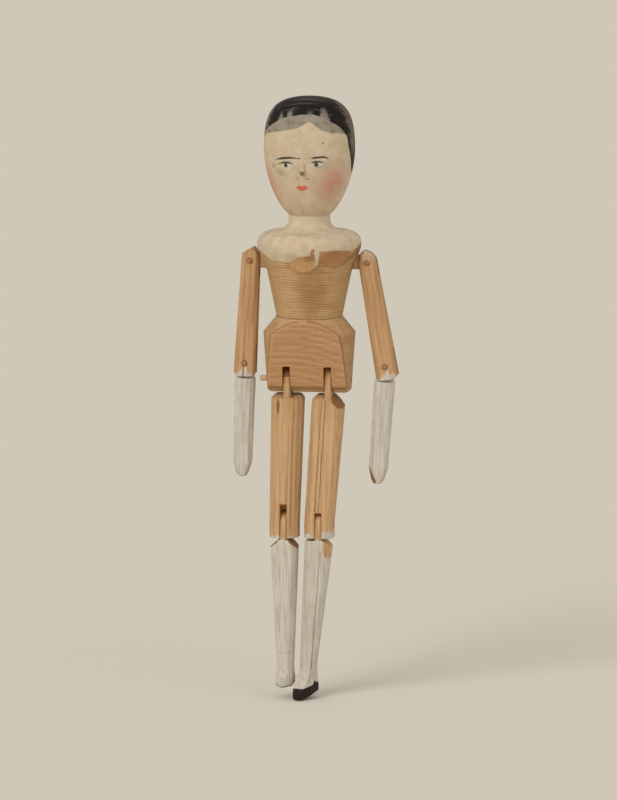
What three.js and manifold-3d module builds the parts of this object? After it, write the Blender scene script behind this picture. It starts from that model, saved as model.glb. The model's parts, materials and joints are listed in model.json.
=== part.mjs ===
// A jointed wooden doll about 305 mm tall: a turned head and trunk in one
// piece, with whittled limbs hung on wooden pegs. Millimetres, +Z up, the face
// looks along -Y, and the origin is on the turning axis at the waist. Left and
// right are the doll's own, so the left limbs stand on the +X side.
import * as THREE from "three";
import { mergeVertices } from "three/addons/utils/BufferGeometryUtils.js";
import Module from "manifold-3d";

const wasm = await Module();
wasm.setup();
const DEG = Math.PI / 180;

// Head and neck: heights above the waist, and radii
const crownHeight = 111;
const crownFlatRadius = 2;
const crownRounding = 16.5;
const crownFall = 0.5;
const templeHeight = 85;
const templeRise = 18;
const headRadius = 23;
const cheekDrop = 12;
const chinHeight = 51.5;
const chinReach = 7;
const chinRise = 5.5;
const neckRadius = 10.5;
const neckFootHeight = 49;

// Shoulders, bodice and hips
const shoulderTopHeight = 43;
const shoulderTopRadius = 19.7;
const shoulderHeight = 36.3;
const shoulderRadius = 26.4;
const bustHeight = 22.9;
const bustRadius = 21.6;
const waistRadius = 16.9;
const hipTopDrop = 8.2;
const hipRadius = 23.5;
const hipFootDrop = 38.8;
const hipFootRadius = 21.5;
const hipFootChamferWidth = 1.6;
const hipFootChamferHeight = 1.4;
const turnedSides = 44;

// Flats and gouge marks cut on the turned trunk
const apronDepth = 7.6;
const apronSlope = 16 * DEG;
const apronBevel = 2.6;
const backFlatDepth = 9.3;
const backFlatSlope = 14 * DEG;
const backBevel = 4.2;
const gougeRadius = 11;
const gougeDepth = 0.9;
const gougeTilt = 20 * DEG;
const chestGougeHeight = 28.6;
const sideGougeHeight = 30.8;
const sideGougeTurn = 41 * DEG;

// Clearances
const pinClearance = 0.2;
const slotClearance = 0.3;
const rodClearance = 0.3;
const shoulderClearance = 0.6;
const noseClearance = 0.15;

// Nose
const noseTop = 80;
const noseBottom = 73.4;
const noseWidth = 2.8;
const noseBridge = 0.3;
const noseReach = 2.4;
const noseTenon = 4;

// Shoulder rod and arms
const rodHeight = 27.5;
const rodRadius = 4;
const rodTongue = 3;
const armTopWidth = 9;
const armFootWidth = 11.4;
const armTopDepth = 9;
const armFootDepth = 9.4;
const armChamfer = 2;
const armSideGap = 1.9;
const rightArmPitch = 52.2;
const leftArmPitch = 53.5;
const armPeak = 7;
const armPeakInset = 0.9;
const armRoofSlope = 34 * DEG;
const armSlotBelowPin = 7.2;
const elbowSlotAbovePin = 9;
const elbowForkEnd = 6.8;
const elbowForkFlat = 6.4;
const elbowForkSlope = 37 * DEG;
const spreadTravel = 4.5 * DEG;
const rightElbowGap = 3.4;
const leftElbowGap = 9.8;
const armPinRadius = 1.2;
const armPinProud = 0.5;
const elbowTongue = 3;
const elbowTongueRadius = 4.7;
const elbowShoulder = 7.8;
const forearmTopWidth = 10.3;
const forearmWristWidth = 9.6;
const forearmTopDepth = 8.8;
const forearmWristDepth = 6.6;
const forearmChamfer = 2;
const handLength = 8;
const rightForearmLength = 58.2;
const leftForearmLength = 60.2;
const handTipWidth = 4;
const handTipDepth = 4.4;
const rightForearmLean = 1.8 * DEG;
const leftForearmLean = -4.1 * DEG;

// Hip joint and thighs
const hipPinDrop = 32.1;
const hipPinForward = 2;
const hipPinRadius = 1.45;
const hipPinProud = 3.6;
const hipSlotDrop = 25.2;
const hipTongue = 3.4;
const hipTongueRadius = 6;
const thighShoulder = 7.9;
const thighShoulderSlope = 15 * DEG;
const thighTopWidth = 16.6;
const thighDepth = 13;
const thighGap = 4.4;
const thighChamfer = 3.2;
const thighKneeWidth = 14.8;
const thighInnerCorner = 2;
const rightThighCorner = 1.6;
const leftThighCorner = 6;
const kneePitch = 74.3;
const kneeSplay = 1.9;
const kneeGap = 3;
const kneeForkEnd = 6.7;
const kneeRearBevel = 3;
const rightKneeSlotFront = 11;
const leftKneeSlotFront = 6.4;
const kneeSlotRear = 6.4;
const kneePinRadius = 1.3;
const kneeTongue = 3.4;
const kneeTongueRadius = 5.6;
const rightKneeTongueHeel = 1.3;
const leftKneeTongueHeel = 0;

// Lower legs and feet
const shinShoulder = 7.9;
const shinTopWidth = 14;
const shinAnkleWidth = 8.6;
const shinTopDepth = 12.4;
const shinAnkleDepth = 9;
const shinChamfer = 2.6;
const shinGable = 40 * DEG;
const rightShinInnerGable = 40 * DEG;
const leftShinInnerGable = 4 * DEG;
const shinAnkle = 72;
const soleDrop = 86.2;
const soleSlope = 12 * DEG;
const footWidth = 8.8;
const heelReach = 4.2;
const toeReach = 12.5;
const toeWidth = 5;
const toeRise = 4.6;
const instepRise = 12;
const leftFootTurn = 20 * DEG;
const rightFootTurn = 8 * DEG;
const wornToeReach = 6.4;
const wornSoleDrop = 82.4;
const footGap = 0.8;
const ankleInset = 0.4;

// Helpers
function solid(geometry) {
  const bare = new THREE.BufferGeometry();
  const loose = geometry.index ? geometry.toNonIndexed() : geometry;
  bare.setAttribute("position", loose.getAttribute("position"));
  const joined = mergeVertices(bare, 1e-4);
  return new wasm.Manifold(new wasm.Mesh({
    numProp: 3,
    vertProperties: new Float32Array(joined.attributes.position.array),
    triVerts: new Uint32Array(joined.index.array),
  }));
}

function geometryOf(body) {
  const mesh = body.getMesh();
  const geometry = new THREE.BufferGeometry();
  geometry.setAttribute("position", new THREE.BufferAttribute(mesh.vertProperties, 3));
  geometry.setIndex(new THREE.BufferAttribute(mesh.triVerts, 1));
  const flat = geometry.toNonIndexed();
  flat.computeVertexNormals();
  return flat;
}

function block(width, depth, height, x, y, z) {
  const geometry = new THREE.BoxGeometry(width, depth, height);
  return solid(geometry.translate(x, y, z));
}

// A half-space cut: the block stands in front of a plane through the point,
// tilted about X and then turned about Z.
function frontCut(point, tilt, turn = 0) {
  const geometry = new THREE.BoxGeometry(90, 40, 90);
  geometry.translate(0, -20, 0).rotateX(tilt).rotateZ(turn);
  return solid(geometry.translate(point.x, point.y, point.z));
}

function dowel(radius, length, axis, sides, x, y, z) {
  const geometry = new THREE.CylinderGeometry(radius, radius, length, sides);
  if (axis === "x") geometry.rotateZ(Math.PI / 2);
  return solid(geometry.translate(x, y, z));
}

// A peg with its two ends eased, along Y or along X.
function peg(radius, start, end, axis) {
  const ease = radius * 0.35;
  const profile = [
    new THREE.Vector2(0, start),
    new THREE.Vector2(radius - ease, start),
    new THREE.Vector2(radius, start + ease),
    new THREE.Vector2(radius, end - ease),
    new THREE.Vector2(radius - ease, end),
    new THREE.Vector2(0, end),
  ];
  const geometry = new THREE.LatheGeometry(profile, 14);
  if (axis === "x") geometry.rotateZ(-Math.PI / 2);
  return solid(geometry);
}

// An outline in X and Z, carried through in Y; or in Y and Z, carried through in X.
function plateGeometry(shape, thickness, axis = "y") {
  const geometry = new THREE.ExtrudeGeometry(shape, {
    depth: thickness, bevelEnabled: false, curveSegments: 8,
  });
  geometry.translate(0, 0, -thickness / 2).rotateX(Math.PI / 2);
  return axis === "x" ? geometry.rotateZ(Math.PI / 2) : geometry;
}

function plate(shape, thickness, axis) {
  return solid(plateGeometry(shape, thickness, axis));
}

function outline(points) {
  return new THREE.Shape(points.map(([u, v]) => new THREE.Vector2(u, v)));
}

// A tongue hangs from its peg: half round above, or with a square heel behind
// the round, and straight sides below.
function tongue(radius, length, thickness, axis, heel = 0) {
  const shape = new THREE.Shape();
  shape.moveTo(radius, 0);
  if (heel > 0) {
    shape.lineTo(radius, radius - heel / 2);
    shape.lineTo(radius - heel, radius + heel / 2);
  }
  shape.absarc(0, 0, radius, heel > 0 ? Math.PI / 2 : 0, Math.PI, false);
  shape.lineTo(-radius, -length);
  shape.lineTo(radius, -length);
  return plate(shape, thickness, axis);
}

// An eight-sided whittled bar through stations given from the foot up.
function bar(stations) {
  const rings = stations.map(({ width, depth, chamfer, x = 0, y = 0, z }) => {
    const w = width / 2;
    const d = depth / 2;
    const corner = [
      [w, -d + chamfer], [w, d - chamfer], [w - chamfer, d], [-w + chamfer, d],
      [-w, d - chamfer], [-w, -d + chamfer], [-w + chamfer, -d], [w - chamfer, -d],
    ];
    return corner.map(([u, v]) => [x + u, y + v, z]);
  });
  const count = rings[0].length;
  const index = [];
  for (let k = 0; k + 1 < rings.length; k++) {
    for (let i = 0; i < count; i++) {
      const a = k * count + i;
      const b = k * count + (i + 1) % count;
      index.push(a, b, b + count, a, b + count, a + count);
    }
  }
  const top = (rings.length - 1) * count;
  for (let i = 1; i + 1 < count; i++) {
    index.push(0, i + 1, i, top, top + i, top + i + 1);
  }
  const geometry = new THREE.BufferGeometry();
  const points = new Float32Array(rings.flat(2));
  geometry.setAttribute("position", new THREE.BufferAttribute(points, 3));
  geometry.setIndex(index);
  return solid(geometry);
}

// Turned trunk
const profile = new THREE.Path();
profile.moveTo(0, -hipFootDrop);
profile.lineTo(hipFootRadius - hipFootChamferWidth, -hipFootDrop);
profile.lineTo(hipFootRadius, -hipFootDrop + hipFootChamferHeight);
profile.lineTo(hipRadius, -hipTopDrop);
profile.lineTo(waistRadius, 0);
profile.lineTo(bustRadius, bustHeight);
profile.bezierCurveTo(bustRadius + 1.8, bustHeight + 5.6,
  shoulderRadius - 0.2, shoulderHeight - 3.8, shoulderRadius, shoulderHeight);
profile.bezierCurveTo(shoulderRadius, shoulderHeight + 3.7,
  shoulderTopRadius + 4.5, shoulderTopHeight - 0.6, shoulderTopRadius, shoulderTopHeight);
profile.bezierCurveTo(neckRadius + 3.5, shoulderTopHeight + 0.8,
  neckRadius, neckFootHeight - 4, neckRadius, neckFootHeight);
profile.lineTo(neckRadius, chinHeight);
profile.bezierCurveTo(neckRadius + chinReach, chinHeight + chinRise,
  headRadius, templeHeight - cheekDrop, headRadius, templeHeight);
profile.bezierCurveTo(headRadius, templeHeight + templeRise,
  crownFlatRadius + crownRounding, crownHeight - crownFall, crownFlatRadius, crownHeight);
profile.lineTo(0, crownHeight);
const turned = profile.getPoints(7);

function trunkRadius(height) {
  for (let i = 1; i < turned.length; i++) {
    const a = turned[i - 1];
    const b = turned[i];
    if (height >= a.y && height <= b.y && b.y > a.y) {
      return a.x + (b.x - a.x) * (height - a.y) / (b.y - a.y);
    }
  }
  return 0;
}

let trunk = solid(new THREE.LatheGeometry(turned, turnedSides).rotateX(Math.PI / 2));
const hipFoot = -hipFootDrop;
trunk = trunk
  .subtract(frontCut(new THREE.Vector3(0, -apronDepth, hipFoot), apronSlope))
  .subtract(frontCut(new THREE.Vector3(0, -apronDepth + apronBevel, hipFoot), 45 * DEG))
  .subtract(frontCut(new THREE.Vector3(0, backFlatDepth, hipFoot), backFlatSlope, Math.PI))
  .subtract(frontCut(new THREE.Vector3(0, backFlatDepth - backBevel, hipFoot), 45 * DEG, Math.PI));

// Two shallow gouge marks under the shoulder, one in front and one to the left
function gougeMark(height, turn) {
  const away = gougeRadius - gougeDepth;
  const geometry = new THREE.CylinderGeometry(gougeRadius, gougeRadius, 40, 48).rotateZ(Math.PI / 2);
  geometry.translate(0, -trunkRadius(height) - away * Math.cos(gougeTilt), height - away * Math.sin(gougeTilt));
  return solid(geometry.rotateZ(turn));
}
trunk = trunk
  .subtract(gougeMark(chestGougeHeight, 0))
  .subtract(gougeMark(sideGougeHeight, sideGougeTurn));

// Rod bore, hip slots and hip peg bore
const legX = (thighTopWidth + thighGap) / 2;
const hipSlot = hipTongue + 2 * slotClearance;
const hipSlotHeight = hipFootDrop - hipSlotDrop;
trunk = trunk
  .subtract(dowel(rodRadius + rodClearance, 2 * shoulderRadius + 20, "x", 20, 0, 0, rodHeight))
  .subtract(dowel(hipPinRadius + pinClearance, 2 * hipRadius + 20, "x", 14,
    0, -hipPinForward, -hipPinDrop));
for (const x of [-legX, legX]) {
  trunk = trunk.subtract(block(hipSlot, 80, hipSlotHeight * 2, x, 0, -hipFootDrop));
}

// Nose: a wedge with a tenon in a socket in the face
const noseMid = (noseTop + noseBottom) / 2;
const noseRoot = -trunkRadius(noseBottom) + noseTenon;
const noseSide = outline([
  [noseRoot, noseBottom],
  [-trunkRadius(noseBottom) - noseReach * 0.55, noseBottom],
  [-trunkRadius(noseBottom) - noseReach, noseBottom + 0.9],
  [-trunkRadius(noseTop) - noseBridge, noseTop],
  [noseRoot, noseTop],
]);
trunk = trunk.subtract(block(noseWidth + 2 * noseClearance, 12, noseTop - noseBottom + 2 * noseClearance,
  0, noseRoot + noseClearance - 6, noseMid));
let nose = plate(noseSide, noseWidth, "x");
const cheekCut = new THREE.Vector3(0, -trunkRadius(noseBottom) - noseReach, noseBottom);
nose = nose
  .subtract(frontCut(cheekCut.clone().add(new THREE.Vector3(0.45, 0, 0)), 0, 58 * DEG))
  .subtract(frontCut(cheekCut.clone().add(new THREE.Vector3(-0.45, 0, 0)), 0, -58 * DEG));

// Shoulder rod: round through the trunk, flattened to a tongue at each end
const shoulderPinX = trunkRadius(rodHeight) + armSideGap + armTopWidth / 2;
const rodRound = trunkRadius(rodHeight) - 1.2;
let rod = dowel(rodRadius, 2 * rodRound, "x", 20, 0, 0, rodHeight);
const rodEnd = Math.sqrt(rodRadius ** 2 - (rodTongue / 2) ** 2) - 0.05;
const rodPlate = new THREE.Shape();
rodPlate.moveTo(-shoulderPinX, rodHeight - rodEnd);
rodPlate.lineTo(shoulderPinX, rodHeight - rodEnd);
rodPlate.absarc(shoulderPinX, rodHeight, rodEnd, -Math.PI / 2, Math.PI / 2, false);
rodPlate.lineTo(-shoulderPinX, rodHeight + rodEnd);
rodPlate.absarc(-shoulderPinX, rodHeight, rodEnd, Math.PI / 2, Math.PI * 1.5, false);
const rodFlat = plate(rodPlate, rodTongue);
const rodEnds = rodFlat.subtract(block(2 * rodRound - 2, 40, 40, 0, 0, rodHeight));
rod = rod.add(rodEnds);
for (const x of [-shoulderPinX, shoulderPinX]) {
  rod = rod.subtract(dowel(armPinRadius + pinClearance, 30, "y", 14, x, 0, rodHeight));
}

// Arms. Each is built hanging from its peg; side is -1 for the right arm.
const elbowReach = hipRadius + armFootWidth / 2;
const rightArmLean = Math.asin((elbowReach + rightElbowGap - shoulderPinX) / rightArmPitch);
const leftArmLean = Math.asin((elbowReach + leftElbowGap - shoulderPinX) / leftArmPitch);
const widestSpread = Math.max(rightArmLean, leftArmLean) + spreadTravel;
const shoulderSide = outline([
  ...[-6, -2, 2, 5, 8, 11].map((h) => [trunkRadius(rodHeight + h) + shoulderClearance, h]),
  [0, 11], [0, -6],
]);

function upperArm(side, pitch) {
  const roof = Math.tan(armRoofSlope);
  const fork = Math.tan(elbowForkSlope);
  const forkFoot = -pitch - elbowForkEnd;
  const ends = outline([
    [side * 30, armPeak - roof * (30 + armPeakInset)],
    [-side * armPeakInset, armPeak],
    [-side * 30, armPeak - 0.7 * (30 - armPeakInset)],
    [-side * 30, forkFoot + fork * (30 - elbowForkFlat / 2)],
    [-side * elbowForkFlat / 2, forkFoot],
    [side * elbowForkFlat / 2, forkFoot],
    [side * 30, forkFoot + fork * (30 - elbowForkFlat / 2)],
  ]);
  let arm = bar([
    { width: armFootWidth, depth: armFootDepth, chamfer: armChamfer, z: forkFoot - 1 },
    { width: armTopWidth, depth: armTopDepth, chamfer: armChamfer, z: armPeak + 1 },
  ]).intersect(plate(ends, 40));
  // The top is eased where it would meet the trunk at the widest spread.
  const trunkSide = new THREE.ExtrudeGeometry(shoulderSide, { depth: 40, bevelEnabled: false });
  trunkSide.translate(-shoulderPinX, 0, -20).rotateX(Math.PI / 2);
  if (side < 0) trunkSide.rotateZ(Math.PI);
  trunkSide.rotateY(side * widestSpread);
  arm = arm.subtract(solid(trunkSide));
  arm = arm
    .subtract(block(40, rodTongue + 2 * slotClearance, 60, 0, 0, 30 - armSlotBelowPin))
    .subtract(block(40, elbowTongue + 2 * slotClearance, 60, 0, 0, -pitch + elbowSlotAbovePin - 30))
    .subtract(dowel(armPinRadius + pinClearance, 30, "y", 14, 0, 0, 0))
    .subtract(dowel(armPinRadius + pinClearance, 30, "y", 14, 0, 0, -pitch));
  return arm;
}

function foreArm(length) {
  const body = bar([
    { width: handTipWidth, depth: handTipDepth, chamfer: 1, z: -length },
    { width: forearmWristWidth, depth: forearmWristDepth, chamfer: forearmChamfer,
      z: -length + handLength },
    { width: forearmTopWidth, depth: forearmTopDepth, chamfer: forearmChamfer, z: -elbowShoulder },
  ]);
  return body
    .add(tongue(elbowTongueRadius, elbowShoulder + 1, elbowTongue, "y"))
    .subtract(dowel(armPinRadius + pinClearance, 30, "y", 14, 0, 0, 0));
}

// Legs. Tongues and slots stay square to the pegs; the sideways lean is carved.
const rightKneeX = -legX - kneeSplay;
const leftKneeX = rightKneeX + thighKneeWidth + kneeGap;

function thigh(lean, corner, side, slotFront) {
  const forkFoot = -kneePitch - kneeForkEnd;
  const root = thighShoulder + 5.3;
  let leg = bar([
    { width: thighKneeWidth, depth: thighDepth, chamfer: thighChamfer, x: lean, z: forkFoot },
    { width: thighKneeWidth, depth: thighDepth, chamfer: thighChamfer, x: lean, z: -kneePitch },
    { width: thighTopWidth, depth: thighDepth, chamfer: thighChamfer, z: -thighShoulder + 1 },
  ]);
  // Shoulder sloped towards the front, eased outer corners, bevel behind the knee
  const shoulder = outline([
    [30, -thighShoulder], [0, -thighShoulder],
    [-30, -thighShoulder - 30 * Math.tan(thighShoulderSlope)], [-30, -150], [30, -150],
  ]);
  const eave = thighTopWidth / 2 - corner;
  const innerEave = thighTopWidth / 2 - thighInnerCorner;
  const ridge = (eave - innerEave) / 2;
  const ease = outline([
    [side * 30, -thighShoulder - 30 + eave],
    [side * ridge, -thighShoulder + eave - ridge],
    [-side * 30, -thighShoulder - 30 + innerEave],
    [-side * 30, -150], [side * 30, -150],
  ]);
  leg = leg.intersect(plate(shoulder, 80, "x")).intersect(plate(ease, 60))
    .subtract(frontCut(new THREE.Vector3(0, thighDepth / 2 - kneeRearBevel, forkFoot), 45 * DEG, Math.PI));
  leg = leg.add(tongue(hipTongueRadius, root, hipTongue, "x"));
  // The right knee slot is cut higher in front than behind, the left one level
  const rake = (slotFront - kneeSlotRear) / thighDepth;
  const slotTop = -kneePitch + (slotFront + kneeSlotRear) / 2;
  const slot = outline([
    [-20, slotTop + 20 * rake], [20, slotTop - 20 * rake], [20, -150], [-20, -150],
  ]);
  const slotCut = plateGeometry(slot, kneeTongue + 2 * slotClearance, "x").translate(lean, 0, 0);
  return leg
    .subtract(solid(slotCut))
    .subtract(dowel(hipPinRadius + pinClearance, 40, "x", 14, 0, 0, 0))
    .subtract(dowel(kneePinRadius + pinClearance, 60, "x", 14, 0, 0, -kneePitch));
}

// Foot: a side outline and a plan outline carried through each other
function foot(reach, drop, width, tip, turn, x) {
  const slope = Math.tan(soleSlope);
  const side = outline([
    [heelReach, -drop + slope * heelReach],
    [-reach, -drop - slope * reach],
    [-reach, -drop - slope * reach + toeRise],
    [-heelReach * 0.6, -drop + instepRise],
    [heelReach, -drop + instepRise + 2],
  ]);
  const plan = outline([
    [-width / 2, -heelReach + 1.5], [-width / 2 + 1.5, -heelReach], [width / 2 - 1.5, -heelReach],
    [width / 2, -heelReach + 1.5], [width / 2, reach * 0.45], [tip / 2, reach], [-tip / 2, reach],
    [-width / 2, reach * 0.45],
  ]);
  const planBody = new THREE.ExtrudeGeometry(plan, { depth: 60, bevelEnabled: false });
  planBody.rotateZ(Math.PI + turn).translate(x, 0, -drop - 30);
  const sideBody = plateGeometry(side, 40, "x").rotateZ(turn).translate(x, 0, 0);
  return solid(sideBody).intersect(solid(planBody));
}

function lowerLeg(ankleX, footBody, drop, side, innerGable, heel) {
  let leg = bar([
    { width: shinAnkleWidth, depth: shinAnkleDepth, chamfer: shinChamfer, x: ankleX, z: -drop + 6 },
    { width: shinAnkleWidth, depth: shinAnkleDepth, chamfer: shinChamfer, x: ankleX, z: -shinAnkle },
    { width: shinTopWidth, depth: shinTopDepth, chamfer: shinChamfer, z: -shinShoulder },
  ]);
  // Gabled shoulders each side of the tongue
  const flat = kneeTongue / 2 + 1;
  const top = outline([
    [-side * 30, -shinShoulder - Math.tan(innerGable) * (30 - flat)], [-side * flat, -shinShoulder],
    [side * flat, -shinShoulder], [side * 30, -shinShoulder - Math.tan(shinGable) * (30 - flat)],
    [side * 30, -150], [-side * 30, -150],
  ]);
  leg = leg.intersect(plate(top, 60)).add(footBody);
  return leg
    .add(tongue(kneeTongueRadius, shinShoulder + 3, kneeTongue, "x", heel))
    .subtract(dowel(kneePinRadius + pinClearance, 40, "x", 14, 0, 0, 0));
}

// Colours of the real surfaces
const bodyWood = "#a9815a";
const armWood = "#b98e61";
const legWood = "#c09a68";
const pegWood = "#9a7148";
const limbPaint = "#c9beae";
const facePaint = "#c8b692";

const doll = new THREE.Group();
doll.name = "jointed_wooden_doll";

function place(name, body, colour, parent, position = [0, 0, 0]) {
  const material = new THREE.MeshStandardMaterial({ color: colour, roughness: 0.65, metalness: 0 });
  material.name = name;
  const mesh = new THREE.Mesh(geometryOf(body), material);
  mesh.name = name;
  mesh.position.set(...position);
  parent.add(mesh);
}

function frameAt(parent, x, y, z, turnY = 0) {
  const group = new THREE.Group();
  group.position.set(x, y, z);
  group.rotation.y = turnY;
  parent.add(group);
  return group;
}

place("head_and_torso", trunk, bodyWood, doll);
place("nose", nose, facePaint, doll);
place("shoulder_rod", rod, armWood, doll);

const armSides = [
  { word: "right", side: -1, lean: rightArmLean, pitch: rightArmPitch,
    foreLean: rightForearmLean, foreLength: rightForearmLength },
  { word: "left", side: 1, lean: leftArmLean, pitch: leftArmPitch,
    foreLean: leftForearmLean, foreLength: leftForearmLength },
];
for (const { word, side, lean, pitch, foreLean, foreLength } of armSides) {
  const shoulder = frameAt(doll, side * shoulderPinX, 0, rodHeight, -side * lean);
  const pinHalf = armTopDepth / 2 + armPinProud;
  const elbowPinHalf = armFootDepth / 2 + armPinProud;
  place(`${word}_upper_arm`, upperArm(side, pitch), armWood, shoulder);
  place(`${word}_shoulder_pin`, peg(armPinRadius, -pinHalf, pinHalf, "y"), pegWood, shoulder);
  place(`${word}_elbow_pin`, peg(armPinRadius, -elbowPinHalf, elbowPinHalf, "y"), pegWood,
    shoulder, [0, 0, -pitch]);
  const elbow = frameAt(shoulder, 0, 0, -pitch, -side * (foreLean - lean));
  place(`${word}_forearm`, foreArm(foreLength), limbPaint, elbow);
}

const hip = frameAt(doll, 0, -hipPinForward, -hipPinDrop);
const pinSide = hipFootRadius + hipPinProud;
place("hip_pin", peg(hipPinRadius, -pinSide, hipFootRadius - 0.4, "x"), pegWood, hip);

const kneeHalf = thighKneeWidth / 2 - 0.2;
const rightAnkle = ankleInset;
const rightFootEdge = rightKneeX + rightAnkle + footWidth / 2;
const toeSweep = toeReach * Math.sin(leftFootTurn) + toeWidth / 2 * Math.cos(leftFootTurn);
const leftAnkle = rightFootEdge + footGap + toeSweep - leftKneeX;
const rightFoot = foot(wornToeReach, wornSoleDrop, footWidth, 1.2, -rightFootTurn, rightAnkle);
const leftFoot = foot(toeReach, soleDrop, footWidth, toeWidth, -leftFootTurn, leftAnkle);
const legSides = [
  { word: "right", side: -1, x: -legX, kneeX: rightKneeX, corner: rightThighCorner,
    ankle: rightAnkle, footBody: rightFoot, drop: wornSoleDrop,
    slotFront: rightKneeSlotFront, innerGable: rightShinInnerGable, heel: rightKneeTongueHeel },
  { word: "left", side: 1, x: legX, kneeX: leftKneeX, corner: leftThighCorner,
    ankle: leftAnkle, footBody: leftFoot, drop: soleDrop,
    slotFront: leftKneeSlotFront, innerGable: leftShinInnerGable, heel: leftKneeTongueHeel },
];
for (const leg of legSides) {
  const { word, side, x, kneeX } = leg;
  const upper = thigh(kneeX - x, leg.corner, side, leg.slotFront);
  const lower = lowerLeg(leg.ankle, leg.footBody, leg.drop, side, leg.innerGable, leg.heel);
  place(`${word}_thigh`, upper, legWood, hip, [x, 0, 0]);
  const knee = frameAt(hip, kneeX, 0, -kneePitch);
  place(`${word}_knee_pin`, peg(kneePinRadius, -kneeHalf, kneeHalf, "x"), pegWood, knee);
  place(`${word}_lower_leg`, lower, limbPaint, knee);
}

export default doll;
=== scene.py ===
import json
from math import acos, atan2, cos, pi, radians, sin, sqrt, tan

import bpy
import numpy as np
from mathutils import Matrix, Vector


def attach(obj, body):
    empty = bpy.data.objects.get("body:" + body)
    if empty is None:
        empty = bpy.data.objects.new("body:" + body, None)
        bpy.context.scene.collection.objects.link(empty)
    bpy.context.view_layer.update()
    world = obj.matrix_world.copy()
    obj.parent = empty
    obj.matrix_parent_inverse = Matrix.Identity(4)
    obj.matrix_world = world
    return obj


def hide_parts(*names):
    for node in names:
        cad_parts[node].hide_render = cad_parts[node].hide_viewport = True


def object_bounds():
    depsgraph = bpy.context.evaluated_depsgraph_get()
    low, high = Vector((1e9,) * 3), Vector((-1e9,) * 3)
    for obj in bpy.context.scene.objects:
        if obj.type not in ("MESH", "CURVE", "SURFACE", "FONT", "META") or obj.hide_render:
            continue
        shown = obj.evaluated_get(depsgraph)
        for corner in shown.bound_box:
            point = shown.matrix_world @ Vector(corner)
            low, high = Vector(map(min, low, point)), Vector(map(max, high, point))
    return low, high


# A turned and whittled wooden doll with peg joints. Shapes are worked out in
# millimetres, in the frame of the solid parts, and written to meshes in metres.
# Left and right are the doll's own, so the left limbs stand on the +X side.
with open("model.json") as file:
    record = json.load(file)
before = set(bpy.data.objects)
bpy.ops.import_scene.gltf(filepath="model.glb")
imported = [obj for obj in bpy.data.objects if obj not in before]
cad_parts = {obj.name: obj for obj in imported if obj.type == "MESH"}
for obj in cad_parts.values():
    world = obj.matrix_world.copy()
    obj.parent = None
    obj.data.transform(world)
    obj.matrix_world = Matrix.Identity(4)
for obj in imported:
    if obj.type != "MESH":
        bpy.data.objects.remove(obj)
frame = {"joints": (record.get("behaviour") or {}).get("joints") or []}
cad_low, cad_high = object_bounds()
pivot = {joint["name"]: np.array(joint["pos_m"]) * 1000.0 for joint in frame["joints"]}
SIDES = {"right": -1.0, "left": 1.0}

# Mesh fineness
TRUNK_CELL = 0.602
NOSE_CELL = 0.16
LIMB_CELL = 0.36
PEG_SIDES = 40

# Levels of the trunk, from the waist
HIP_FOOT = -38.8
CROWN = 111.0
LEG_SLOT_TOP = -25.2

# Joints: pegs, tongues and the clearances round them
ARM_PEG = 1.2
HIP_PEG = 1.45
KNEE_PEG = 1.3
PEG_HALF = {"shoulder": 5.0, "elbow": 5.2, "knee": 7.2}
HIP_PEG_ENDS = (-25.1, 21.1)
BORE_GAP = 0.06
SLOT_GAP = 0.18
ARM_TONGUE = 3.0
LEG_TONGUE = 3.4
ARM_SLOT_HALF = ARM_TONGUE / 2 + SLOT_GAP
LEG_SLOT_HALF = LEG_TONGUE / 2 + SLOT_GAP
ROD_RADIUS = 4.0
ROD_GAP = 0.3

# Wear: radius of the arrises of a bar, of a tongue and slot, and of the mouth of a bore
ARRIS = 0.4
THIN_ARRIS = 0.3
BORE_ARRIS = 0.25

# Arms, with levels from the peg that each part hangs on
ARM_HALF = 4.5
ARM_FLARE = 1.2
ARM_ROOF = 7.0
ARM_FOOT = 6.8
FOREARM_TOP = -7.8
FOREARM_LEAN = {"right": radians(1.8), "left": radians(-4.1)}
FOREARM_LENGTH = {"right": 58.2, "left": 60.2}
HAND_LENGTH = 8.0

# Legs, with levels from the peg that each part hangs on
KNEE_PITCH = pivot["right_hip"][2] - pivot["right_knee"][2]
THIGH_TOP = -7.9
THIGH_HALF = 8.3
THIGH_HALF_DEPTH = 6.5
THIGH_FOOT = 6.7
THIGH_SLOPE = radians(15.0)
KNEE_RAKE = {"right": 0.354, "left": 0.0}
KNEE_SLOT = {"right": 8.7, "left": 6.4}
SHIN_TOP = -7.9
SHIN_HALF = 7.0
SHIN_HALF_DEPTH = 6.2
OUTER_GABLE = 0.839
INNER_GABLE = {"right": 0.839, "left": 0.07}
ANKLE = {"right": 0.4, "left": -5.576}
ANKLE_DROP = 72.0
ANKLE_HALF = 4.3
FOOT_HALF = 4.4
FOOT_TURN = {"right": radians(-8.0), "left": radians(-20.0)}
FOOT_REACH = {"right": 6.4, "left": 12.5}
HEEL = -4.2
SOLE_DROP = {"right": 82.4, "left": 86.2}
SOLE_SLOPE = tan(radians(12.0))


# Fields: negative inside the wood, positive outside, zero on its surface

def eased(a, b, r=ARRIS):
    """The larger of two distances, with the arris between them worn to about radius r."""
    return np.maximum(a, b) + np.maximum(r - np.abs(a - b), 0.0) ** 2 / (4.0 * r)


def joined(a, b, r=THIN_ARRIS):
    """The smaller of two distances, with the corner between them filled to about radius r."""
    return -eased(-a, -b, r)


def whittled(x, y, half_width, half_depth, chamfer, r):
    """An eight-sided section: the largest of the side, face and corner distances, eased."""
    side = np.abs(x) - half_width
    face = np.abs(y) - half_depth
    corner = (np.abs(x) + np.abs(y) - half_width - half_depth + chamfer) / sqrt(2.0)
    return eased(eased(side, face, r), corner, r)


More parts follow.
